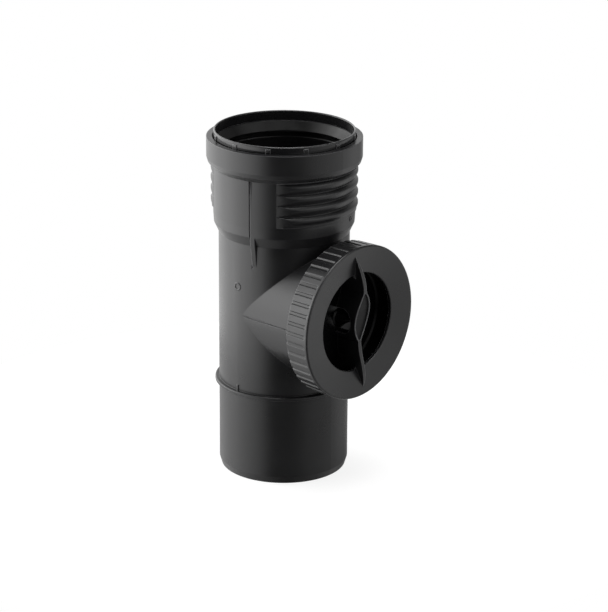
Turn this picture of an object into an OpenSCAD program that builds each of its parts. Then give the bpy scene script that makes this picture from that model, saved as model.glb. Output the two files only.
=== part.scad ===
// Drain access pipe in polypropylene. A straight push-fit pipe has a spigot below, a socket
// with a lip seal on top, and a round service opening on one side.
// The opening is shut by a cup-shaped plug, and a knurled screw ring holds the plug down.
//
// All lengths are in millimetres. The pipe runs along Z, and the origin is the centre of the
// spigot's end face. The service opening looks along X.

/* [Pipe] */
// Outside diameter of the pipe and of its spigot
pipe_d = 110; // [104:0.5:116]
// Wall of the pipe and of the branch
pipe_wall = 3.6; // [3:0.1:4.2]
// Length of the spigot, from its end to the insertion ring
spigot_len = 75.5; // [60:0.5:90]
// Length of the taper at the spigot's end
taper_len = 6; // [3:0.5:10]
// How far the taper draws the spigot's end in
taper_in = 1.8; // [0.5:0.1:2.4]
// Height of the insertion ring
stop_ring_h = 3.2; // [2:0.1:5]
// How far the insertion ring stands out from the pipe
stop_ring_out = 3.4; // [2:0.1:5]
// Bevel on the insertion ring's corners
stop_bevel = 0.6; // [0.3:0.1:0.9]
// Plain pipe between the insertion ring and the branch
below_branch = 12.8; // [11.5:0.1:30]
// Plain pipe between the branch and the foot of the socket
above_branch = 7.7; // [5:0.1:30]

/* [Socket] */
// Radial play between the socket's bore and the pipe that goes into it
socket_play = 0.6; // [0.3:0.1:1]
// Wall of the socket
socket_wall = 3.8; // [3:0.1:4.2]
// Height of the cone that widens the pipe to the socket
foot_cone_h = 8.5; // [6:0.5:12]
// How far the inside of that cone starts above its outside
inner_cone_up = 4; // [3:0.1:5]
// How far the inside of that cone ends above its outside
inner_cone_past = 1; // [0.5:0.1:3]
// How much narrower that cone's top is than the socket's wall
foot_step = 0.5; // [0.3:0.1:1]
// Height over which the socket then widens to its wall
foot_step_h = 8; // [1.5:0.1:9]
// Plain height between the cone and the lowest rib
plain_h = 10.3; // [9:0.1:14]
// Number of ribs on each side of the socket
rib_count = 4; // [2:1:5]
// Height of one rib
rib_pitch = 9.35; // [8:0.05:11]
// How far the ribs' crests may stand out from the socket's wall
band_out = 2; // [1:0.1:2.4]
// Height of a rib's crest above the groove beside it
rib_h = 2.7; // [1.5:0.1:3]
// How far the grooves above the ribs cut into the socket's wall
rib_in = 1.2; // [0.4:0.1:1.2]
// Share of a rib's height over which it slopes out, before it turns back to the groove
rib_lean = 0.68; // [0.5:0.01:0.8]
// Angle from the service opening's direction at which the ribs run out
rib_end_a = 58.5; // [50:0.5:65]
// Sideways shift of the circle of the ribs' crests, which makes them run out
rib_shift = 12; // [8:0.5:14]
// Sideways shift of the grooves' circle the other way, which makes them shallower there
groove_shift = 3; // [2:0.1:5]
// How much higher the ribs are on the side away from the service opening
rib_stagger = 2.5; // [0:0.1:4]
// Height between the top groove and the slope below the bead
bead_foot = 0.2; // [0.1:0.1:1]
// Height from the foot of the slope below the bead to the bead's full width
bead_slope_h = 8.2; // [7:0.1:10]
// How much of the bead's width is left to a gentler slope
bead_ease = 1.1; // [0.6:0.1:2]
// Height of the bead around the socket's mouth
bead_h = 16.4; // [15:0.1:22]
// Wall of the bead
bead_wall = 3.6; // [3:0.1:4.2]

/* [Seal] */
// Radial room for the seal between the socket's bore and the bead
seal_room = 5.8; // [5:0.1:6.5]
// Height of the seal's chamber up to the top of the bead
chamber_h = 16; // [15.8:0.1:17]
// How far the seal's lip reaches into the path of the pipe
lip_grip = 2.5; // [1.5:0.1:3.5]
// Bevel around the top of the socket's bore, under the seal
bore_bevel = 0.6; // [0.3:0.1:0.8]
// Height of the lip's tip above the seal's foot
lip_up = 5.5; // [4.5:0.1:6.5]
// Thickness of the lip's tip
lip_t = 1.4; // [1:0.1:2]
// How far the lip's tip is bevelled on its underside
lip_bevel = 0.8; // [0.4:0.1:1.2]
// Height of the seal's foot, outside the lip
seal_foot_h = 7.5; // [6.5:0.1:8]
// Height of the seal from its foot to the top of the lip's slope
seal_h = 13; // [12.5:0.1:14]

/* [Retaining ring] */
// How far the retaining ring stands above the bead
collar_h = 5.8; // [4:0.1:9]
// Wall of the retaining ring
collar_wall = 1.6; // [1.4:0.1:2]
// Wall of its skirt, which reaches down around the seal's shoulder
collar_skirt = 0.8; // [0.6:0.1:1]
// Bevel on the retaining ring's top edges
collar_bevel = 0.5; // [0.3:0.1:0.6]
// Gap between the retaining ring and the mouth of the bead
collar_gap = 1; // [0.8:0.1:1.2]
// How far the mouth's lip reaches in over the snap tabs
mouth_lip = 1.4; // [1:0.1:2]
// Height of the mouth's lip
mouth_lip_h = 2; // [1.5:0.1:3]
// Number of snap tabs
tab_count = 12; // [6:1:16]
// Width of a snap tab
tab_w = 4.2; // [3:0.1:6]
// Height of a snap tab's hook under the mouth's lip
tab_hook_h = 3; // [2:0.1:3.4]
// How far the snap tabs stay below the retaining ring's top edge
tab_below = 1.8; // [1:0.1:3]

/* [Branch] */
// How much smaller the branch's radius is than the pipe's
branch_inset = 0.2; // [0.2:0.1:3]
// Distance from the pipe's axis to the rim of the service opening
rim_x = 74.4; // [72:0.1:90]
// Length of the neck that carries the thread
neck_len = 13.4; // [12:0.1:13.4]
// How far the neck stands out from the branch
neck_out = 2.8; // [1.5:0.1:4]
// Length of the slope between branch and neck
neck_slope = 2.8; // [2:0.1:3]
// Chamfer around the rim
rim_chamfer = 0.8; // [0.4:0.1:1.2]

/* [Screw ring] */
// Radial room for the thread between the neck and the screw ring
thread_room = 2.8; // [2.2:0.1:3.5]
// Thickness of the screw ring's skirt at its front
skirt_wall = 5.2; // [4:0.1:7]
// How much thinner the skirt is at its back
skirt_draft = 0.6; // [0.2:0.1:1]
// Bevel on the skirt's back edge
skirt_bevel = 0.6; // [0.3:0.1:1]
// How far the skirt reaches back past the rim
skirt_back = 11.5; // [9:0.1:11.5]
// Radius of the opening in the screw ring's face
face_hole_r = 42; // [36:0.5:44]
// Thickness of the face beside its opening
face_t = 3; // [2.5:0.1:4]
// How far the face rises from its opening to its outer edge
face_dish = 3; // [1:0.1:4]
// Rounding of the face's outer edge
face_edge = 1.4; // [0.8:0.1:2]
// Rounding of the opening's edge
hole_edge = 0.8; // [0.4:0.1:1.2]
// Number of grooves around the skirt
knurl_count = 48; // [36:1:56]
// Width of a groove in the skirt, at its mouth
knurl_w = 3.6; // [2.8:0.1:4]
// Width of a groove's floor
knurl_floor_w = 2; // [1:0.1:2.4]
// Depth of a groove
knurl_depth = 1; // [0.6:0.1:1.2]
// Angle from the grip bar's end to the nearest groove
knurl_turn = -1.2; // [-3:0.1:3]
// Plain band between the grooves and the face's edge
knurl_stop = 3; // [2:0.1:6]
// Angle at which the screw ring has come to rest
ring_turn = 6; // [0:1:30]

/* [Grip bar] */
// Thickness of the grip bar's blade
blade_w = 3.2; // [2:0.1:3.4]
// Thickness of the blade at the bar's ends
bar_tip_w = 0.9; // [0.5:0.1:1.5]
// How far the blade sways to each side
blade_sway = 4.7; // [3:0.1:7]
// How much of that sway is added as a shorter wave, which makes it steeper in the middle
sway_skew = 0.18; // [0:0.01:0.3]
// How far the bar's ends stay inside the outer edge of the face
bar_end_gap = 6.6; // [4:0.1:8]
// How far the bar's top edge dives into the face at its ends
bar_end_sink = 0.2; // [0.1:0.1:0.5]
// Width that the eye adds to the blade
eye_w = 13.6; // [9:0.1:15]
// Half length of the eye
eye_half = 20; // [18:0.5:26]
// Distance of the eye's middle from the middle of the bar, up the bar
eye_at = 5.5; // [0:0.5:8]
// Depth of the dish in the eye's top
eye_dish = 1.4; // [0.4:0.1:1.8]
// Width of the rim around that dish
eye_rim = 1.3; // [1:0.1:1.8]
// Half width at which that dish, and the hollow behind the eye, end
hollow_tip = 0.8; // [0.6:0.1:1.2]
// How far the bar's top stands above the opening's edge at its shoulders
bar_rise = 6.8; // [5:0.1:9]
// How far the bar's top dips in the middle
bar_dip = 3; // [1:0.1:4]
// Distance of the bar's shoulders from the middle
shoulder_s = 36; // [32:0.5:38]
// Half width of the window under the eye
window_r = 10.5; // [9:0.1:11]
// Thickness of the eye over the window, at the middle
eye_t = 5; // [4:0.1:6]
// Wall that is left around the hollow behind the eye
eye_wall = 1.8; // [1.6:0.1:2.2]
// How far the roots of the blade reach in from the face's opening
root_len = 6; // [4:0.5:9]
// How far a root widens the blade on each side
root_w = 2.8; // [2:0.1:4]

/* [Plug] */
// Depth of the plug's cup below its flange
cup_depth = 15.9; // [13:0.1:16.5]
// Wall of the cup
cup_wall = 2.8; // [2.2:0.1:3.4]
// Radial play between the cup and the bore of the branch
cup_play = 1.7; // [1:0.1:2.5]
// How much narrower the cup is at its floor
cup_draft = 0.8; // [0.4:0.1:1.5]
// Bevel in the cup's corner
cup_bevel = 1.5; // [0.8:0.1:2.2]
// Thickness of the flange
flange_t = 3; // [2.5:0.1:3.5]
// Radius of the cone's foot in the middle of the cup
cone_r = 8.6; // [6:0.1:8.8]
// Height of the cone
cone_h = 12.2; // [8:0.1:14]
// Rounding of the cone's tip
cone_tip_r = 1.6; // [1:0.1:2.5]

/* [Gasket] */
// Thickness of the gasket
gasket_t = 2.5; // [2:0.1:3.5]
// How far the gasket stays inside the rim's chamfer
gasket_in = 0.2; // [0.1:0.1:0.6]
// Gap between the gasket and the bore of the branch
gasket_gap = 0.8; // [0.4:0.1:1.5]

/* [Fits] */
// Gap between parts that slide or turn on each other
run_gap = 0.3; // [0.2:0.05:0.4]
// Gap between parts that only sit together
seat_gap = 0.2; // [0.1:0.05:0.3]
// Radial gap between the plug's flange and the screw ring
flange_gap = 0.8; // [0.4:0.1:1.5]

/* [Mould marks] */
// Direction of the gusset under the socket, in degrees from the service opening
gusset_a = -73.5; // [-80:0.1:-70]
// Width of the gusset
gusset_w = 4.1; // [2:0.1:5]
// How far the gusset reaches down the pipe below the socket's cone
gusset_drop = 17.4; // [12:0.1:24]
// Width of the mould line beside the gusset
line_w = 0.8; // [0.5:0.1:1.2]
// Depth of a mould line
line_t = 0.8; // [0.3:0.1:1]
// How far the socket's mould line runs on below the gusset
line_drop = 2; // [0:0.5:5]
// Length of the wide stretch of the branch's mould line
wide_line = 26; // [15:1:35]
// Diameter of the round mark on the pipe
disc_d = 7; // [5:0.5:9]
// Direction of the round mark and of the tick
disc_a = -91.5; // [-110:0.5:-60]
// Height of the round mark above the branch's axis
disc_up = 24.5; // [15:0.1:40]
// Diameter of the small round mark on the socket
pip_d = 4.6; // [3:0.2:6]
// Direction of the small round mark
pip_a = 20.5; // [10:0.5:40]
// Height of the small round mark above the socket's cone
pip_up = 7.5; // [4:0.1:8]
// Width of the rim around a round mark's sunk middle
mark_rim = 1.2; // [0.8:0.1:1.4]
// How far the marks stand out
mark_t = 0.4; // [0.3:0.1:0.8]
// Height of the tick on the insertion ring
tick_h = 5; // [3:0.5:8]
// How far the tick stands out
tick_out = 0.8; // [0.5:0.1:1.5]
// Width of the tick
tick_w = 2; // [1:0.1:3]

/* [Hidden] */
$fn = 120;
// Overshoot of a cut past the surface that it starts from
over = 1;
// Distance that a cut keeps from a wall beside it
clear = 0.1;
// Points along each half of the grip bar
bar_steps = 24;
// Segments of a rounded edge
edge_steps = 4;
// Segments of a rib's section
rib_steps = 8;

// Radii around the pipe's axis
pipe_r = pipe_d / 2;
bore_r = pipe_r - pipe_wall;
socket_bore_r = pipe_r + socket_play;
socket_r = socket_bore_r + socket_wall;
band_r = socket_r + band_out;
chamber_r = socket_bore_r + seal_room;
bead_r = chamber_r + bead_wall;
mouth_r = chamber_r - mouth_lip;
collar_r = mouth_r - collar_gap;
collar_bore_r = collar_r - collar_wall;

// Heights along the pipe
stop_top_z = spigot_len + stop_ring_h;
branch_r = pipe_r - branch_inset;
branch_z = stop_top_z + below_branch + branch_r;
foot_z = branch_z + branch_r + above_branch;
cone_top_z = foot_z + foot_cone_h;
band_z = cone_top_z + plain_h;
band_top_z = band_z + rib_count * rib_pitch;
slope_z = band_top_z + bead_foot;
bead_z = slope_z + bead_slope_h;
top_z = bead_z + bead_h;
chamber_z = top_z - chamber_h;
collar_top_z = top_z + collar_h;
lip_z = chamber_z + lip_up;

// Circle of the ribs' crests and of the grooves' floors, around their shifted centres
crest_r = socket_r - rib_shift * cos(rib_end_a);
groove_r = socket_r - rib_in + groove_shift;

// Service opening, with x measured from the pipe's axis
branch_bore_r = branch_r - pipe_wall;
neck_r = branch_r + neck_out;
neck_x = rim_x - neck_len;
flange_back_x = rim_x + gasket_t;
flange_x = flange_back_x + flange_t;
face_back_x = flange_x + seat_gap;
face_x = face_back_x + face_t;
face_edge_x = face_x + face_dish;
skirt_bore_r = neck_r + thread_room;
ring_r = skirt_bore_r + skirt_wall;
skirt_x = rim_x - skirt_back;
flange_r = skirt_bore_r - flange_gap;
cup_r = branch_bore_r - cup_play;
cup_bore_r = cup_r - cup_wall;
floor_x = flange_x - cup_depth;
floor_back_x = floor_x - cup_wall;

// Grip bar, with s measured along it from the middle
bar_half = ring_r - bar_end_gap;
bar_foot_x = floor_x + run_gap;
bar_foot_half = cup_bore_r - cup_draft - 2 * run_gap;
bar_top_x = face_x + bar_rise;
window_top_x = bar_top_x - bar_dip - eye_t;
// Place of the face's surface at the bar's ends, and of the bar's top there
face_in_r = face_hole_r + hole_edge;
face_out_r = ring_r - face_edge;
bar_end_x = face_x + face_dish * (bar_half - face_in_r) / (face_out_r - face_in_r) - bar_end_sink;

// Points of an arc around a centre, from one angle to another
function arc(centre, r, from, to, steps) =
    [for (i = [0 : steps]) let (a = from + (to - from) * i / steps)
        [centre[0] + r * cos(a), centre[1] + r * sin(a)]];

// Sideways place of the blade's middle at the distance s along the bar
function sway(s) = blade_sway * (sin(180 * s / bar_half) + sway_skew * sin(360 * s / bar_half));

// Half width that the eye adds at s
function eye(s) = eye_w / 2 * max(0, 1 - pow((s - eye_at) / eye_half, 2));

// Half thickness of the blade at s, which thins out over the face
function blade(s) =
    let (past = max(0, abs(s) - face_hole_r) / (bar_half - face_hole_r))
    blade_w / 2 - (blade_w - bar_tip_w) / 2 * past;

// Height of the bar's top at s: a dip in the middle, and a fall towards each end
function bar_top(s) = abs(s) < shoulder_s
    ? bar_top_x - bar_dip * pow(cos(90 * s / shoulder_s), 2)
    : bar_top_x - (bar_top_x - bar_end_x) * pow((abs(s) - shoulder_s) / (bar_half - shoulder_s), 2);

// Outline of the bar, looking at the face
function bar_outline() =
    let (steps = bar_steps, reach = bar_half)
    concat(
        [for (i = [-steps : steps]) let (s = reach * i / steps) [sway(s) + eye(s) + blade(s), s]],
        [for (i = [-steps : steps]) let (s = -reach * i / steps) [sway(s) - eye(s) - blade(s), s]]);

// Outline inside the eye that stays wall away from its edge. It ends where it has narrowed to
// the half width hollow_tip.
function eye_outline(wall) =
    let (steps = bar_steps, inset = wall - blade_w / 2)
    let (reach = eye_half * sqrt(1 - (inset + hollow_tip) / (eye_w / 2)))
    concat(
        [for (i = [-steps : steps]) let (s = eye_at + reach * i / steps) [sway(s) + eye(s) - inset, s]],
        [for (i = [-steps : steps]) let (s = eye_at - reach * i / steps) [sway(s) - eye(s) + inset, s]]);

// Height at which the lowest rib starts on one side, 1 towards the service opening and -1 away
function rib_z(side) = band_z + (side > 0 ? 0 : rib_stagger);

// How far out a rib's surface is, as a share of its height, where t goes from 0 at its lower
// end to 1 at its upper end
function rib(t) = t < rib_lean ? sin(90 * t / rib_lean) : sin(90 * (1 - t) / (1 - rib_lean));

// Turns a profile of radii and heights around Z
module turned(points) {
    rotate_extrude() polygon(points);
}

// Places children on the branch's axis: their x, y and z become Y, Z and X
module on_branch() {
    translate([0, 0, branch_z]) rotate([90, 0, 90]) children();
}

// Outside of the pipe and its socket, as one turned solid
module pipe_outside() {
    stop_r = pipe_r + stop_ring_out;
    turned([
        [0, 0],
        [pipe_r - taper_in, 0],
        [pipe_r, taper_len],
        [pipe_r, spigot_len],
        [stop_r - stop_bevel, spigot_len],
        [stop_r, spigot_len + stop_bevel],
        [stop_r, stop_top_z - stop_bevel],
        [stop_r - stop_bevel, stop_top_z],
        [pipe_r, stop_top_z],
        [pipe_r, foot_z],
        [socket_r - foot_step, cone_top_z],
        [socket_r, cone_top_z + foot_step_h],
        [socket_r, slope_z],
        [bead_r - bead_ease, slope_z + bead_r - bead_ease - socket_r],
        [bead_r, bead_z],
        [bead_r, top_z],
        [0, top_z]
    ]);
}

// Inside of the pipe, the socket and the seal's chamber
module pipe_inside() {
    turned([
        [0, -over],
        [bore_r, -over],
        [bore_r, foot_z + inner_cone_up],
        [socket_bore_r, cone_top_z + inner_cone_past],
        [socket_bore_r, chamber_z - bore_bevel],
        [socket_bore_r + bore_bevel, chamber_z],
        [chamber_r, chamber_z],
        [chamber_r, top_z - mouth_lip_h],
        [mouth_r, top_z - mouth_lip_h],
        [mouth_r, top_z + over],
        [0, top_z + over]
    ]);
}

// Raised band on one side, out of which the ribs are cut. Its circle is shifted towards that
// side, so that the band runs out into the socket's wall at the front and back.
module rib_band(side) {
    band_h = slope_z + band_out / 2 - rib_z(side);
    translate([0, 0, rib_z(side)]) intersection() {
        translate([side * rib_shift, 0, 0]) cylinder(r = crest_r, h = band_h);
        cylinder(r = band_r, h = band_h);
    }
}

// What is cut from the band and the wall on one side, so that ribs stay. The first rib rises
// from the wall, and a groove follows above each rib.
module rib_cut(side) {
    low_z = rib_z(side);
    high_z = low_z + rib_count * rib_pitch;
    wall_r = socket_r + groove_shift + clear;
    far_r = bead_r + groove_shift;
    translate([-side * groove_shift, 0, 0]) rotate_extrude() intersection() {
        polygon(concat(
            [[groove_r, high_z + over],
             [far_r, high_z + over],
             [far_r, low_z - over],
             [wall_r, low_z - over]],
            [for (i = [0 : rib_count * rib_steps])
                let (t = i / rib_steps, r = groove_r + rib_h * rib(t - floor(t)))
                [t < rib_lean ? max(r, wall_r) : r, low_z + t * rib_pitch]]));
        polygon([
            [0, low_z - 2 * over],
            [far_r + over, low_z - 2 * over],
            [far_r + over, band_top_z + far_r + over - wall_r],
            [wall_r, band_top_z],
            [0, band_top_z]
        ]);
    }
}

// Outside of the branch and the neck for the screw ring
module branch_outside() {
    on_branch() turned([
        [0, 0],
        [branch_r, 0],
        [branch_r, neck_x - neck_slope],
        [neck_r, neck_x],
        [neck_r, rim_x - rim_chamfer],
        [neck_r - rim_chamfer, rim_x],
        [0, rim_x]
    ]);
}

// Wedge below the socket, level with it at the top and running out on the pipe
module gusset() {
    rotate(gusset_a) rotate([90, 0, 0]) linear_extrude(gusset_w, center = true) polygon([
        [bore_r + pipe_wall / 2, foot_z - gusset_drop],
        [pipe_r, foot_z - gusset_drop],
        [socket_r - foot_step, cone_top_z],
        [bore_r + pipe_wall / 2, cone_top_z - over]
    ]);
}

// Mould line up the socket, on the left of the gusset
module socket_line() {
    angle = gusset_a - asin(gusset_w / 2 / socket_r);
    end_z = foot_z - gusset_drop - line_drop;
    rotate(angle) rotate([90, 0, 0]) linear_extrude(line_w, center = true) polygon([
        [pipe_r - line_t, end_z],
        [bead_r, end_z],
        [bead_r, slope_z],
        [socket_r - line_t, slope_z],
        [socket_r - line_t, cone_top_z + foot_step_h],
        [socket_r - foot_step - line_t, cone_top_z],
        [pipe_r - line_t, foot_z]
    ]);
}

// Mould line along the branch, wide at first and then fine
module branch_line() {
    start_x = sqrt(pow(pipe_r, 2) - pow(branch_r, 2));
    reach = neck_x - neck_slope - start_x;
    translate([start_x, -branch_r - over, branch_z - line_w])
        cube([wide_line, line_t + over, 2 * line_w]);
    translate([start_x, -branch_r - over, branch_z - line_w / 2])
        cube([reach, line_t + over, line_w]);
}

// A round mark with a sunk middle, standing on a wall of radius r
module round_mark(d, angle, z, r) {
    translate([0, 0, z]) rotate(angle) rotate([0, 90, 0]) difference() {
        cylinder(d = d, h = r + mark_t);
        translate([0, 0, r - mark_t / 2]) cylinder(d = d - 2 * mark_rim, h = 2 * mark_t);
    }
}

// Pipe, socket, branch and neck, moulded in one piece
module body() {
    color("#2c2d30") difference() {
        union() {
            difference() {
                union() {
                    pipe_outside();
                    rib_band(1);
                    rib_band(-1);
                }
                rib_cut(1);
                rib_cut(-1);
                socket_line();
            }
            difference() {
                branch_outside();
                branch_line();
            }
            gusset();
            round_mark(disc_d, disc_a, branch_z + disc_up, pipe_r);
            round_mark(pip_d, pip_a, cone_top_z + pip_up, socket_r);
            rotate(disc_a) translate([bore_r + pipe_wall / 2, -tick_w / 2, stop_top_z - over])
                cube([pipe_wall / 2 + tick_out, tick_w, tick_h + over]);
        }
        pipe_inside();
        on_branch() cylinder(r = branch_bore_r, h = rim_x + over);
    }
}

// Ring that snaps into the bead and keeps the seal down
module retaining_ring() {
    hook_z = top_z - mouth_lip_h - seat_gap;
    skirt_z = chamber_z + seal_foot_h + seat_gap;
    shelf_z = chamber_z + seal_h + seat_gap;
    tab_r = collar_r - collar_skirt / 2;
    tab_h = mouth_lip_h + seat_gap + collar_h - tab_below;
    color("#303134") union() {
        turned([
            [collar_bore_r, shelf_z],
            [collar_bore_r, collar_top_z - collar_bevel],
            [collar_bore_r + collar_bevel, collar_top_z],
            [collar_r - collar_bevel, collar_top_z],
            [collar_r, collar_top_z - collar_bevel],
            [collar_r, skirt_z],
            [collar_r - collar_skirt, skirt_z],
            [collar_r - collar_skirt, shelf_z]
        ]);
        for (i = [0 : tab_count - 1]) rotate(i * 360 / tab_count) {
            intersection() {
                translate([tab_r, -tab_w / 2, hook_z - tab_hook_h]) cube([seal_room, tab_w, tab_hook_h]);
                cylinder(r = chamber_r - run_gap, h = collar_top_z);
            }
            intersection() {
                translate([tab_r, -tab_w / 2, hook_z - over]) cube([seal_room, tab_w, over + tab_h]);
                cylinder(r = mouth_r - run_gap, h = collar_top_z);
            }
        }
    }
}

// Rubber seal in the bead, with a lip that slopes down into the pipe's path
module socket_seal() {
    lip_r = pipe_r - lip_grip;
    slope_r = collar_bore_r;
    foot_in_r = socket_bore_r + bore_bevel + seat_gap;
    shoulder_r = collar_r - collar_skirt - seat_gap;
    color("#17181a") turned([
        [lip_r, lip_z],
        [slope_r, chamber_z + seal_h],
        [shoulder_r, chamber_z + seal_h],
        [shoulder_r, chamber_z + seal_foot_h],
        [chamber_r - run_gap, chamber_z + seal_foot_h],
        [chamber_r - run_gap, chamber_z],
        [foot_in_r, chamber_z],
        [foot_in_r, lip_z],
        [lip_r + lip_bevel, lip_z - lip_t]
    ]);
}

// Screw ring without its grip bar
module ring_shell() {
    turned(concat(
        [[skirt_bore_r, skirt_x],
         [ring_r - skirt_draft - skirt_bevel, skirt_x],
         [ring_r - skirt_draft, skirt_x + skirt_bevel]],
        arc([face_out_r, face_edge_x - face_edge], face_edge, 0, 90, edge_steps),
        arc([face_in_r, face_x - hole_edge], hole_edge, 90, 180, edge_steps),
        [[face_hole_r, face_back_x],
         [skirt_bore_r, face_back_x]]));
}

// Grooves around the skirt
module knurl() {
    length = face_edge_x - knurl_stop - skirt_x;
    lean = atan(skirt_draft / (face_edge_x - skirt_x));
    flare = (knurl_w - knurl_floor_w) / 2 / knurl_depth;
    mouth = knurl_floor_w / 2 + flare * (knurl_depth + over);
    for (i = [0 : knurl_count - 1]) rotate(knurl_turn + i * 360 / knurl_count)
        translate([ring_r - skirt_draft, 0, skirt_x]) rotate([0, lean, 0])
            translate([0, 0, -over]) linear_extrude(length + over) polygon([
                [-knurl_depth, -knurl_floor_w / 2],
                [over, -mouth],
                [over, mouth],
                [-knurl_depth, knurl_floor_w / 2]
            ]);
}

// Side of the bar between a top that is lowered by drop, and a foot
module bar_side(half, drop, foot_x) {
    steps = bar_steps;
    rotate([90, 0, 90]) translate([0, 0, -ring_r / 2]) linear_extrude(ring_r) polygon(concat(
        [[-half, foot_x], [half, foot_x]],
        [for (i = [-steps : steps]) let (s = -half * i / steps) [s, bar_top(s) - drop]]));
}

// Grip bar across the ring: a swaying blade that widens to an eye near its middle
module grip_bar() {
    root_half = blade_w / 2 + root_w;
    difference() {
        union() {
            // The part that stands in the plug's cup
            intersection() {
                linear_extrude(bar_top_x) polygon(bar_outline());
                bar_side(bar_half, 0, bar_foot_x);
                turned([
                    [0, bar_foot_x],
                    [bar_foot_half - cup_bevel, bar_foot_x],
                    [bar_foot_half, bar_foot_x + cup_bevel],
                    [bar_foot_half, bar_top_x],
                    [0, bar_top_x]
                ]);
            }
            // The part that lies on the face
            intersection() {
                linear_extrude(bar_top_x) polygon(bar_outline());
                bar_side(bar_half, 0, face_back_x + face_t / 2);
            }
            // Roots that widen the blade where it leaves the face
            for (turn = [0, 180]) rotate(turn)
                translate([sway(face_hole_r), 0, face_back_x]) linear_extrude(face_t - hole_edge) polygon([
                    [0, face_hole_r - root_len],
                    [root_half, face_hole_r + over],
                    [-root_half, face_hole_r + over]
                ]);
        }
        // Dish in the eye's top
        intersection() {
            linear_extrude(bar_top_x + over) polygon(eye_outline(eye_rim));
            difference() {
                translate([0, 0, window_top_x + over]) cylinder(r = eye_half + eye_at, h = eye_t + bar_dip);
                bar_side(eye_half + eye_at, eye_dish, window_top_x);
            }
        }
        // Hollow behind the eye
        translate([0, 0, floor_x]) linear_extrude(window_top_x - floor_x)
            polygon(eye_outline(eye_wall));
        // Window under the eye
        rotate([90, 0, 90]) translate([0, 0, -ring_r / 2]) linear_extrude(ring_r) union() {
            translate([0, window_top_x - window_r]) circle(window_r);
            translate([-window_r, floor_x - over])
                square([2 * window_r, window_top_x - window_r - floor_x + over]);
        }
    }
}

// Knurled screw ring with its grip bar, moulded in one piece
module access_cap() {
    color("#2c2d30") on_branch() rotate(ring_turn) union() {
        difference() {
            ring_shell();
            knurl();
        }
        grip_bar();
    }
}

// Plug that shuts the opening: a flange on the gasket, a cup, and a cone in its middle
module access_plug() {
    tip_x = floor_x + cone_h - cone_tip_r;
    lean = atan((cone_r - cone_tip_r) / (cone_h - cone_tip_r));
    color("#242528") on_branch() turned(concat(
        arc([0, tip_x], cone_tip_r, 90, lean, edge_steps),
        [[cone_r - cup_bevel / 2, floor_x + cup_bevel / 2],
        [cone_r + cup_bevel / 2, floor_x],
        [cup_bore_r - cup_draft - cup_bevel, floor_x],
        [cup_bore_r - cup_draft, floor_x + cup_bevel],
        [cup_bore_r, flange_x],
        [flange_r, flange_x],
        [flange_r, flange_back_x],
        [cup_r, flange_back_x],
        [cup_r - cup_draft, floor_back_x + cup_bevel],
        [cup_r - cup_draft - cup_bevel, floor_back_x],
        [cone_r - cup_wall, floor_back_x],
        [0, tip_x - cup_wall]]));
}

// Flat rubber ring between the plug's flange and the rim of the opening
module plug_gasket() {
    inside_r = branch_bore_r + gasket_gap;
    outside_r = neck_r - rim_chamfer - gasket_in;
    color("#17181a") on_branch() turned([
        [inside_r, rim_x],
        [outside_r, rim_x],
        [outside_r, flange_back_x],
        [inside_r, flange_back_x]
    ]);
}

body();
retaining_ring();
socket_seal();
access_cap();
access_plug();
plug_gasket();
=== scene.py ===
# %% [markdown]
# # Drain access pipe
#
# The object is a black polypropylene fitting for house drains: a straight pipe with a push-fit
# socket on top, a spigot below, and a round service opening on one side, shut by a screw
# closure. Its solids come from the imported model. This lesson dresses them. It gives each piece
# its plastic or rubber, adds the threads that the solids leave out and a dull skin in the grip
# bar's dish, and sets up a camera and a soft studio light that match the photograph.

# %% Load the frame
import math

import bpy
import numpy as np
from mathutils import Matrix, Vector


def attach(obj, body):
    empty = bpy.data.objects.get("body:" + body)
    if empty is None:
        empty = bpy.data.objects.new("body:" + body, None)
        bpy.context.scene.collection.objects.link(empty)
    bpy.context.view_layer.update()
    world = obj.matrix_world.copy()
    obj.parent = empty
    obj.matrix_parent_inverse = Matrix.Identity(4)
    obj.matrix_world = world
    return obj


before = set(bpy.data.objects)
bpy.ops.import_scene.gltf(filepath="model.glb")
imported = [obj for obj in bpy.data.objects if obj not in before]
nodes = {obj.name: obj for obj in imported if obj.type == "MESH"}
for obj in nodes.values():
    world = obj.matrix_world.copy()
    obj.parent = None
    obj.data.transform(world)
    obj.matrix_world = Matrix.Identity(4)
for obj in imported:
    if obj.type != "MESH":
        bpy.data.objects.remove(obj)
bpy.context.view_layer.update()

print("CAD nodes:", ", ".join(sorted(nodes)))

# %% [markdown]
# ## Three helpers
#
# Plastics are judged by small differences in grey. Their colours are therefore written as a
# screen shows them, as sRGB hex codes, and one function turns a code into the linear values
# that a shader wants. A second function empties a tree, because a new material or world starts
# with nodes of its own. A third adds a node to a tree with its settings, its values and its
# links, so that a whole material can be read in a few lines.

# %% Colours and nodes
MM = 0.001


def linear(code):
    """An sRGB hex code such as "#1b1b1c" as linear RGBA. Above a small threshold a channel is
    ((c + 0.055) / 1.055) to the power 2.4, and below it c / 12.92."""
    parts = np.array([int(code[i:i + 2], 16) / 255 for i in (1, 3, 5)])
    curve = np.where(parts <= 0.04045, parts / 12.92, ((parts + 0.055) / 1.055) ** 2.4)
    return (*curve.tolist(), 1.0)


def empty_tree(owner):
    """The node tree of a material or a world, emptied."""
    owner.use_nodes = True
    owner.node_tree.nodes.clear()
    return owner.node_tree


def add(tree, kind, inputs=None, **settings):
    """Adds a node. Each input, by name or number, takes a value, or a pair of another node and
    the name or number of its output."""
    node = tree.nodes.new(kind)
    for name, value in settings.items():
        setattr(node, name, value)
    for name, value in (inputs or {}).items():
        if isinstance(value, tuple) and isinstance(value[0], bpy.types.Node):
            tree.links.new(value[0].outputs[value[1]], node.inputs[name])
        else:
            node.inputs[name].default_value = value
    return node


print("Linear value of #1b1b1c:", [round(v, 4) for v in linear("#1b1b1c")[:3]])

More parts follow.
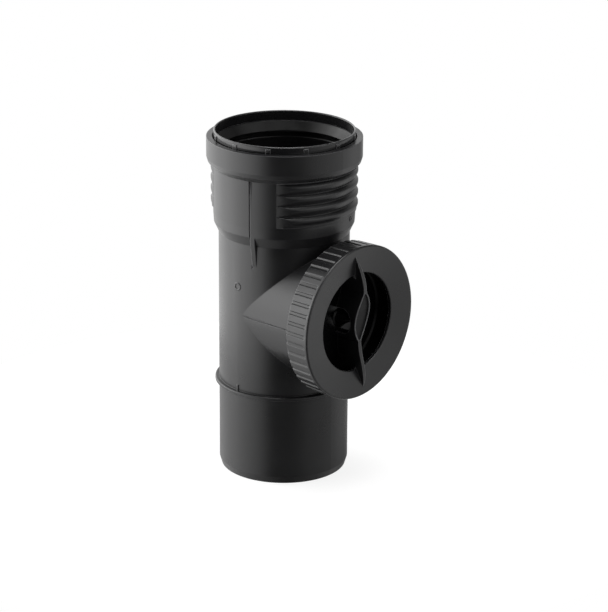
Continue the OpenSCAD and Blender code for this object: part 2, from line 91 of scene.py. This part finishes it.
# %% [markdown]
# ## Moulded plastic
#
# Every hard piece here is injection moulded. The eye reads that from four things: a colour that
# is almost even, a satin gloss that drifts a little where the melt cooled faster, a fine grain
# that the steel of the mould leaves, and edges that are never sharp. One recipe covers them all,
# and each piece gets its own numbers. The cloud of the gloss is some centimetres wide. The grain
# of such a tool is 0.1 mm and finer, too fine to show in the render, so it is drawn 0.5 to 0.9 mm
# wide and very shallow. The edges of the solids are rounded only in the shading, over 1 mm,
# which is about one pixel of the picture. Real ones are rounded by some tenths of a millimetre.
#
# The outer edges go over to a paler grey: a painted highlight along the edges. Rays sent into
# the solid tell where they are: near an edge many of them soon come out again, and behind a plain
# wall none does.

# %% Recipe for plastic
CLOUD_MM = 35
CLOUD_LOW, CLOUD_HIGH = 0.35, 0.65
EDGE_MM = 1.0
# Probe distance and shares of rays for the paler grey painted as a highlight along the edges.
HIGHLIGHT_PROBE_MM = 0.8
HIGHLIGHT_FROM_SHARE, HIGHLIGHT_TO_SHARE = 0.9, 0.45


def plastic(name, dark, light, roughness, drift, grain_mm, grain_depth_mm, ior=1.49,
            painted_edge_highlight=None, squeeze=(1, 1, 1)):
    """Colour goes from dark to light with a cloud, roughness from roughness - drift to
    roughness + drift with the same cloud, and a noise of grain_mm lifts the surface by
    grain_depth_mm. The cloud is squeezed by a factor along each axis. Where the share of the
    rays that stay in the solid over a short distance falls between two set shares, near the outer
    edges, the colour goes over to the paler grey given for the edges: a painted highlight there."""
    material = bpy.data.materials.new(name)
    tree = empty_tree(material)
    place = add(tree, "ShaderNodeTexCoord")
    squeezed = add(tree, "ShaderNodeMapping", {"Vector": (place, "Object"), "Scale": squeeze})
    cloud = add(tree, "ShaderNodeTexNoise",
                {"Vector": (squeezed, "Vector"), "Scale": 1 / (CLOUD_MM * MM), "Detail": 3.0})
    tint = add(tree, "ShaderNodeValToRGB", {"Fac": (cloud, "Fac")})
    for stop, at, code in zip(tint.color_ramp.elements, (CLOUD_LOW, CLOUD_HIGH), (dark, light)):
        stop.position, stop.color = at, linear(code)
    gloss = add(tree, "ShaderNodeMapRange",
                {"Value": (cloud, "Fac"), "From Min": CLOUD_LOW, "From Max": CLOUD_HIGH,
                 "To Min": roughness - drift, "To Max": roughness + drift})
    grain = add(tree, "ShaderNodeTexNoise",
                {"Vector": (place, "Object"), "Scale": 1 / (grain_mm * MM), "Detail": 2.0})
    edges = add(tree, "ShaderNodeBevel", {"Radius": EDGE_MM * MM}, samples=6)
    relief = add(tree, "ShaderNodeBump",
                 {"Height": (grain, "Fac"), "Distance": grain_depth_mm * MM, "Strength": 1.0,
                  "Normal": (edges, "Normal")})
    colour = (tint, "Color")
    if painted_edge_highlight:
        # Near the outer edges the colour turns paler grey: a painted highlight along the edges.
        depth = add(tree, "ShaderNodeAmbientOcclusion", {"Distance": HIGHLIGHT_PROBE_MM * MM},
                    inside=True, samples=8)
        edge_highlight_share = add(tree, "ShaderNodeMapRange",
                  {"Value": (depth, "AO"), "From Min": HIGHLIGHT_FROM_SHARE, "From Max": HIGHLIGHT_TO_SHARE})
        # Inputs 6 and 7 and output 2 of a Mix node are its colours.
        mixed = add(tree, "ShaderNodeMix", {0: (edge_highlight_share, "Result"), 6: colour, 7: linear(painted_edge_highlight)},
                    data_type="RGBA")
        colour = (mixed, 2)
    shader = add(tree, "ShaderNodeBsdfPrincipled",
                 {"Base Color": colour, "IOR": ior, "Roughness": (gloss, "Result"),
                  "Normal": (relief, "Normal")})
    add(tree, "ShaderNodeOutputMaterial", {"Surface": (shader, "BSDF")})
    print(f"Material {name}: {dark} to {light}, roughness {roughness} +- {drift}")
    return material


# %% [markdown]
# ## The plastics
#
# The pipe, its socket and the screw ring are polypropylene with a mineral filler, which makes
# it stiff and quiet and dulls its gloss to satin. The retaining ring is unfilled polypropylene,
# a little shinier. The edges of the pipe, the screw ring and the retaining ring are painted a
# paler grey, a painted highlight, palest on the two rings. The plug is deep and closed: hardly
# any light finds its way out of its cup, and the photograph shows it nearly black, so its colour
# is painted far darker, as painted shade, and it mirrors less. The dish in the bar's eye is left
# rough in the mould by spark erosion, so it is duller than all the rest, and its colour is
# painted darker, as painted shade. The IOR of polypropylene is 1.49. It is lower only for the
# plug and the dish, because the photograph shows less of the studio mirrored there.

# %% Plastics of the hard pieces
pipe_pp = plastic("mineral_filled_polypropylene", "#161617", "#1b1b1c", roughness=0.30,
                  drift=0.03, grain_mm=0.6, grain_depth_mm=0.010, painted_edge_highlight="#505052")
ring_pp = plastic("satin_moulded_polypropylene", "#161617", "#1b1b1c", roughness=0.30,
                  drift=0.03, grain_mm=0.6, grain_depth_mm=0.010, painted_edge_highlight="#707072")
collar_pp = plastic("unfilled_polypropylene", "#161617", "#1b1b1c", roughness=0.16,
                    drift=0.03, grain_mm=0.6, grain_depth_mm=0.003, painted_edge_highlight="#707072")
# The plug's colour is painted far darker than the other plastics, as painted shade in its deep
# cup.
plug_pp_painted_dark = plastic("polished_polypropylene_painted_shade", "#040405", "#070708", roughness=0.25,
                  drift=0.02, grain_mm=0.8, grain_depth_mm=0.003, ior=1.25)
# The dish's skin is painted darker than the bar around it, as painted shade in the dish.
eye_pp_painted_shade = plastic("spark_eroded_polypropylene_painted_shade", "#0e0e0f", "#141415", roughness=0.55,
                 drift=0.05, grain_mm=0.5, grain_depth_mm=0.03, ior=1.36)

# %% [markdown]
# ## Rubber
#
# The lip seal and the gasket are EPDM, a black rubber. It is pressed in a smooth mould and leaves
# the works with a film of silicone grease. The film makes the gloss uneven, in soft streaks that
# run along the pipe, because pipes are pushed in that way. The plastic recipe fits, with a cloud
# that is squeezed sideways and drawn out along the axis. Rubber starts from an IOR of 1.5 and is
# set a little lower, since the photograph shows a weak shine on it.

# %% Rubber of the seals
epdm = plastic("greased_epdm_rubber", "#060606", "#0a0a0a", roughness=0.38, drift=0.07,
               grain_mm=0.9, grain_depth_mm=0.012, ior=1.42, squeeze=(3, 3, 0.4))

# %% Each solid gets its material
finish_of = {"body": pipe_pp, "access_cap": ring_pp, "retaining_ring": collar_pp,
             "access_plug": plug_pp_painted_dark, "socket_seal": epdm, "plug_gasket": epdm}
for name, material in finish_of.items():
    slots = nodes[name].data.materials
    slots.clear()
    slots.append(material)
    print(name, "wears", material.name)

# %% [markdown]
# ## Pieces from arrays
#
# Three small pieces are added to the solids, and the scene has a floor. Each of them is worked
# out as an array of points. It then becomes a mesh object that sits at the origin, with its place
# in its points, as the solids do. One function does that for all.

# %% A piece from points and faces


def new_piece(name, points, faces, material):
    """A mesh object from an array of points in metres and a list of faces."""
    mesh = bpy.data.meshes.new(name)
    mesh.from_pydata(points.reshape(-1, 3), [], faces)
    mesh.update()
    mesh.materials.append(material)
    piece = bpy.data.objects.new(name, mesh)
    bpy.context.scene.collection.objects.link(piece)
    print(f"{name}: {len(mesh.vertices)} points, {len(mesh.polygons)} faces")
    return piece


# %% [markdown]
# ## Painted shade on the floor of the eye
#
# The grip bar widens to an eye, and a shallow dish is sunk into the eye's top. In the photograph
# the dish is darker and duller than the bar around it. The solid has the dish but only one
# material, so a thin skin lies on the dish's floor. It carries a finish left rough by spark
# erosion, and a darker colour that is painted shade. It follows the same curves as the dish.

# %% Curves of the grip bar, in millimetres
AXIS_Z = 146.3
RING_TURN = math.radians(6)
BAR_HALF, BLADE_W, BLADE_SWAY, SWAY_SKEW = 59, 3.2, 4.7, 0.18
SHOULDER_X, SHOULDER_S, BAR_DIP = 89.9, 36, 3
EYE_AT, EYE_HALF, EYE_W, EYE_RIM, EYE_DISH = 5.5, 20, 13.6, 1.3, 1.4
SKIN_HALF, SKIN_GAP, SKIN_LIFT = 18.6, 0.12, 0.04


def bar_line(s):
    """Sideways place, the skin's half width and the height of the dish's floor, for the distance
    s along the bar. Sideways: BLADE_SWAY (sin a + SWAY_SKEW sin 2a), a being 180 degrees times
    s / BAR_HALF. Half width: EYE_W / 2 (1 - ((s - EYE_AT) / EYE_HALF)^2) plus half the blade,
    minus the rim and SKIN_GAP. Height: SHOULDER_X - BAR_DIP cos^2(90 degrees times
    s / SHOULDER_S), minus the dish's depth."""
    a = np.pi * s / BAR_HALF
    middle = BLADE_SWAY * (np.sin(a) + SWAY_SKEW * np.sin(2 * a))
    half = EYE_W / 2 * (1 - ((s - EYE_AT) / EYE_HALF) ** 2) + BLADE_W / 2 - EYE_RIM - SKIN_GAP
    floor_x = SHOULDER_X - BAR_DIP * np.cos(np.pi / 2 * s / SHOULDER_S) ** 2 - EYE_DISH
    return middle, half, floor_x


# %% Skin of painted shade on the dish
along = EYE_AT + np.linspace(-SKIN_HALF, SKIN_HALF, 61)
across = np.linspace(-1, 1, 9)
middle, half, floor_x = (line[:, None] for line in bar_line(along))
u, v = middle + half * across, along[:, None] + 0 * across
y = u * math.cos(RING_TURN) - v * math.sin(RING_TURN)
z = AXIS_Z + u * math.sin(RING_TURN) + v * math.cos(RING_TURN)
points = np.stack([floor_x + SKIN_LIFT + 0 * across, y, z], -1) * MM
index = np.arange(u.size).reshape(u.shape)
quads = np.stack([index[:-1, :-1], index[:-1, 1:], index[1:, 1:], index[1:, :-1]], -1)
eye_dish_shade_skin = new_piece("eye_dish_shade_skin", points, quads.reshape(-1, 4).tolist(), eye_pp_painted_shade)
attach(eye_dish_shade_skin, "screw_ring")
print("The skin faces outwards, normal x", round(eye_dish_shade_skin.data.polygons[0].normal.x, 2))

# %% [markdown]
# ## The threads
#
# The screw ring climbs on a coarse thread around the neck of the service opening: four turns
# free the plug. The thread can be seen as soon as the ring is off. It is a helix, so it is
# worked out as one: a trapezoid section is carried around the axis while it moves along it by
# one pitch for each turn. The ring's own thread is the same helix, half a pitch further on and
# turned inside out, so each thread runs in the other's groove at every angle. Both ends fade
# into the wall, as a mould maker lets them.

# %% Helix carried around the branch's axis, in millimetres
PITCH = 6.5
STEPS_PER_TURN = 96
FADE_DEG = 45
SINK = 0.3


def helix(x_start, turns, start_deg, wall_r, crest_r, foot_w, crest_w):
    """Points and faces. For the angle a and the section's corner k a point is
    x = x_start + PITCH * a / 360 + w[k], y = r cos b and z = AXIS_Z + r sin b, with
    b = start_deg + a. Here w is half the foot's or the crest's width, to both sides. The foot's r
    is sunk into the wall by SINK, and the crest's r rises from the foot's to crest_r over the
    first FADE_DEG and falls back over the last."""
    angle = np.linspace(0, 360 * turns, int(STEPS_PER_TURN * turns) + 1)
    fade = np.clip(np.minimum(angle, angle[-1] - angle) / FADE_DEG, 0, 1)
    foot = wall_r + SINK * np.sign(wall_r - crest_r) + 0 * fade
    crest = foot + (crest_r - foot) * fade
    r = np.stack([foot, crest, crest, foot], -1)
    w = np.array([-foot_w, -crest_w, crest_w, foot_w]) / 2
    x = x_start + PITCH * angle[:, None] / 360 + w
    b = np.radians(start_deg + angle)[:, None]
    points = np.stack([x, r * np.cos(b), AXIS_Z + r * np.sin(b)], -1) * MM
    index = np.arange(r.size).reshape(r.shape)
    beside = np.roll(index, -1, axis=1)
    sides = np.stack([index[:-1], beside[:-1], beside[1:], index[1:]], -1).reshape(-1, 4)
    faces = np.vstack([sides, index[0][::-1], index[-1]])
    return points, (faces if crest_r > wall_r else faces[:, ::-1]).tolist()


# %% Thread on the neck and thread in the screw ring
NECK_START = 64.4
SOFT_EDGE = 0.25


def thread(name, material, **sizes):
    """A piece from the helix of these sizes, with its edges rounded by SOFT_EDGE."""
    piece = new_piece(name, *helix(**sizes), material)
    edge = piece.modifiers.new("soft_edges", "BEVEL")
    edge.width, edge.segments = SOFT_EDGE * MM, 2
    return piece


neck_thread = thread("neck_thread", pipe_pp, x_start=NECK_START, turns=1.2, start_deg=60,
                     wall_r=57.6, crest_r=59.8, foot_w=3.6, crest_w=1.6)
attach(neck_thread, "pipe")
# The ring's thread starts 36 degrees before the neck's, which is a tenth of a pitch.
ring_thread = thread("ring_thread", ring_pp, x_start=NECK_START + PITCH / 2 - PITCH / 10,
                     turns=1.0, start_deg=24, wall_r=60.4, crest_r=58.1, foot_w=3.4, crest_w=1.4)
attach(ring_thread, "screw_ring")

# %% [markdown]
# ## Floor
#
# The photograph is a cut-out on white, and the lower pipe has a dark middle in it, so no bright
# floor can have stood in front of it. The floor here is a pale sheet that keeps a soft shadow
# under the spigot. For the camera its grey is lifted by a glow to the white of the page. For all
# other rays it has no glow and lets half of the light through, so that it mirrors little on the
# pipe and the light from below still reaches the ring and the branch.

# %% Paint of the floor
SEE_THROUGH = 0.5
GLOW = 0.85
floor_paint = bpy.data.materials.new("white_floor")
floor_tree = empty_tree(floor_paint)
paint = add(floor_tree, "ShaderNodeBsdfDiffuse", {"Color": linear("#808080")})
through = add(floor_tree, "ShaderNodeBsdfTransparent")
sheet = add(floor_tree, "ShaderNodeMixShader",
            {0: SEE_THROUGH, 1: (paint, 0), 2: (through, 0)})
glow = add(floor_tree, "ShaderNodeEmission", {"Color": linear("#ffffff"), "Strength": GLOW})
bright = add(floor_tree, "ShaderNodeAddShader", {0: (paint, 0), 1: (glow, 0)})
ray = add(floor_tree, "ShaderNodeLightPath")
shown = add(floor_tree, "ShaderNodeMixShader",
            {0: (ray, "Is Camera Ray"), 1: (sheet, 0), 2: (bright, 0)})
add(floor_tree, "ShaderNodeOutputMaterial", {"Surface": (shown, 0)})
print("Floor lets through:", SEE_THROUGH, "and glows for the camera:", GLOW)

# %% Round floor, in metres
FLOOR_R = 0.35
angle = np.linspace(0, 2 * math.pi, 96, endpoint=False)
points = FLOOR_R * np.stack([np.cos(angle), np.sin(angle), 0 * angle], -1)
floor = new_piece("floor", points, [range(angle.size)], floor_paint)

# %% [markdown]
# ## Camera
#
# The photograph was taken with a long lens from a little above. The angles, the distance and
# the lens below were solved from the outlines of the pipe and its rims in the picture. The
# camera sits on a sphere around a target on the pipe's axis, looks at it, is turned a hair to
# the side, and is rolled by a fifth of a degree.

# %% Camera at the photograph's place
AZIMUTH, ELEVATION, ROLL = np.radians([43.0, 19.503, 0.211])
DISTANCE, TARGET_Z, AIM_ASIDE = 2.1175, 0.140, 0.008
LENS_MM, SENSOR_MM, FAR_CLIP = 147.1, 36.0, 20.0
outward = Vector((math.sin(AZIMUTH) * math.cos(ELEVATION),
                  -math.cos(AZIMUTH) * math.cos(ELEVATION), math.sin(ELEVATION)))
side = (-outward).cross(Vector((0, 0, 1))).normalized()
forward = (-outward + side * AIM_ASIDE).normalized()
level = (side - forward * side.dot(forward)).normalized()
upward = level.cross(forward)
right = level * math.cos(ROLL) + upward * math.sin(ROLL)
above = upward * math.cos(ROLL) - level * math.sin(ROLL)
stand = Matrix((right, above, -forward)).transposed().to_4x4()
stand.translation = Vector((0, 0, TARGET_Z)) + outward * DISTANCE
camera = bpy.data.objects.new("camera", bpy.data.cameras.new("camera"))
camera.data.lens, camera.data.sensor_width = LENS_MM, SENSOR_MM
camera.data.clip_end = FAR_CLIP
camera.matrix_world = stand
bpy.context.scene.collection.objects.link(camera)
bpy.context.scene.camera = camera
print("Camera stands at", [round(v, 3) for v in stand.translation])

# %% [markdown]
# ## Studio light
#
# Black plastic has almost no colour of its own: what the eye sees on it is the studio. Around
# the object stand soft boxes, and their pattern goes round with the direction of a reflection.
# So the light is written as rings around the horizon, one for each band of height, and each
# ring lists how bright the studio is at some headings, from the camera's own direction, left
# negative and right positive. Between the headings the light changes gently. The wide bright box
# on the left draws the light flank of the pipe, the dark gap in front its black middle, and the
# weaker box on the right the second, softer flank. A cap of light overhead touches only the upper
# edges of ribs, rims and beads.

# %% Rings of light
# The five bands are: well below, below, beside, above and overhead. A change between two bands
# takes place between two heights of the direction, from -1, down, to 1, up.
CHANGES = [(-0.75, -0.5), (-0.2, 0.1), (0.35, 0.65), (0.92, 0.97)]
RINGS = [
    {-180: 1.54, -90: 1.59, 0: 0.0, 90: 0.72},
    {-180: 0.77, -150: 1.38, -130: 2.09, -112: 2.53, -98: 3.14, -84: 2.86, -64: 2.48, -44: 1.76,
     -22: 0.0, 22: 0.06, 44: 0.5, 64: 0.66, 84: 0.72, 112: 0.94, 146: 0.28},
    {-180: 0.95, -135: 3.0, -100: 5.2, -70: 2.2, -40: 0.0, 0: 0.0, 40: 1.55, 70: 1.75, 100: 0.0,
     135: 0.45},
    {-180: 0.0, -120: 2.4, -60: 0.3, 0: 0.0, 60: 0.65, 120: 0.0},
    {-180: 6.0},
]
BRIGHTEST = max(max(levels.values()) for levels in RINGS)
print("Rings of light:", len(RINGS), "brightest", BRIGHTEST)

# %% World turned so that heading 0 is the camera's side
world = bpy.data.worlds.new("studio")
bpy.context.scene.world = world
sky = empty_tree(world)
way = add(sky, "ShaderNodeTexCoord")
camera_side = math.atan2(outward.y, outward.x)
turned = add(sky, "ShaderNodeMapping",
             {"Vector": (way, "Generated"), "Rotation": (0, 0, -camera_side)})
heading = add(sky, "ShaderNodeTexGradient", {"Vector": (turned, "Vector")},
              gradient_type="RADIAL")
height = add(sky, "ShaderNodeSeparateXYZ", {"Vector": (way, "Generated")})
print("Heading 0 is at", round(math.degrees(camera_side), 1), "degrees from the x axis")


def light_ring(levels):
    """A ramp of brightness over the heading. The levels start at -180 degrees and go up, and the
    first one is used again at 180, where both ends meet."""
    node = add(sky, "ShaderNodeValToRGB", {"Fac": (heading, "Fac")})
    stops = node.color_ramp.elements
    stops[0].position, stops[1].position = 0, 1
    for place in list(levels)[1:]:
        stops.new(0.5 + place / 360)
    for stop, value in zip(stops, [*levels.values(), levels[-180]]):
        stop.color = (*[value / BRIGHTEST] * 3, 1.0)
    return node


# %% Bands of light, one over the other
light = (light_ring(RINGS[0]), 0)
for (bottom, top), levels in zip(CHANGES, RINGS[1:]):
    share = add(sky, "ShaderNodeMapRange",
                {"Value": (height, "Z"), "From Min": bottom, "From Max": top},
                interpolation_type="SMOOTHSTEP")
    # Inputs 2 and 3 of a Mix node are its numbers, which are enough for light without colour.
    band = add(sky, "ShaderNodeMix", {0: (share, 0), 2: light, 3: (light_ring(levels), 0)})
    light = (band, 0)
studio = add(sky, "ShaderNodeBackground", {"Color": light, "Strength": BRIGHTEST})
print("Bands of light:", len(CHANGES) + 1)

# %% [markdown]
# ## Page behind the object
#
# The camera sees a white page instead of the studio, and so would a ray that passes through
# something clear. Metal would have to mirror the page too, but nothing here is metal. Reflections
# therefore keep the studio: an even white page mirrored in black plastic would turn it all grey.

# %% White page
page = add(sky, "ShaderNodeBackground", {"Color": linear("#ffffff"), "Strength": 1.0})
ray = add(sky, "ShaderNodeLightPath")
seen = add(sky, "ShaderNodeMath", {0: (ray, "Is Camera Ray"), 1: (ray, "Is Transmission Ray")},
           operation="MAXIMUM")
shown = add(sky, "ShaderNodeMixShader", {0: (seen, 0), 1: (studio, 0), 2: (page, 0)})
add(sky, "ShaderNodeOutputWorld", {"Surface": (shown, 0)})
scene = bpy.context.scene
scene.view_settings.view_transform = "Standard"
print("View transform:", scene.view_settings.view_transform)
